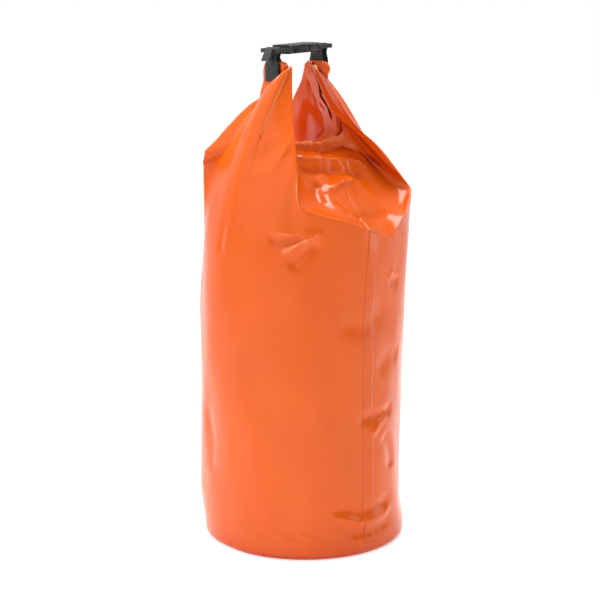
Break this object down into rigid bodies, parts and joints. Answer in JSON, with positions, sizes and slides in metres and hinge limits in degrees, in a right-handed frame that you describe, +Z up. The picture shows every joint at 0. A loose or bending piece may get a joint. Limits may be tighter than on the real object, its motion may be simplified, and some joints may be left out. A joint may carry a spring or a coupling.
{
  "type": "roll-top dry bag",
  "caption": "Roll-top dry bag: a welded tube with a round base, its rolled mouth drawn up at both ends and joined over the top by a side-release buckle to make a carry loop.",
  "frame": {"origin": "middle of the base, on the floor", "axes": "+Z up along the bag, +X from the plug end of the buckle to its socket end, -Y towards the tube's lap seam"},
  "size_m": [0.26, 0.2614, 0.63],
  "materials": {
    "coated_fabric": "glossy coated fabric, orange",
    "weld": "glossy, orange",
    "stiffener": "smooth, off-white",
    "webbing": "woven, black",
    "thread": "twisted, dark grey",
    "buckle_plastic": "semi-matte moulded, black"
  },
  "bodies": {
    "bag": {"tube_wall": "coated_fabric", "base_disc": "coated_fabric", "base_weld_ring": "weld", "side_seam_lap": "coated_fabric", "gathered_top": "coated_fabric", "top_seam_lap": "coated_fabric", "rolled_mouth": "coated_fabric", "mouth_stiffener": "stiffener", "webbing_tab_right": "webbing", "tab_stitches_right": "thread", "buckle_socket": "buckle_plastic"},
    "plug_end": {"rolled_mouth_end": "coated_fabric", "webbing_tab_left": "webbing", "tab_stitches_left": "thread", "buckle_plug": "buckle_plastic"},
    "front_prong": {"prong_front": "buckle_plastic"},
    "back_prong": {"prong_back": "buckle_plastic"}
  },
  "joints": [
    {"name": "buckle_release", "type": "slide", "parent": "bag", "child": "plug_end", "axis": [-0.9976, 0, -0.0698], "range_m": [0, 0.032]},
    {"name": "front_prong_squeeze", "type": "hinge", "parent": "plug_end", "child": "front_prong", "pos_m": [-0.02806, -0.0086, 0.62195], "axis": [-0.0698, 0, 0.9976], "range_deg": [0, 8], "stiffness_Nm_per_rad": 1.2},
    {"name": "back_prong_squeeze", "type": "hinge", "parent": "plug_end", "child": "back_prong", "pos_m": [-0.02806, 0.0086, 0.62195], "axis": [-0.0698, 0, 0.9976], "range_deg": [-8, 0], "stiffness_Nm_per_rad": 1.2}
  ]
}
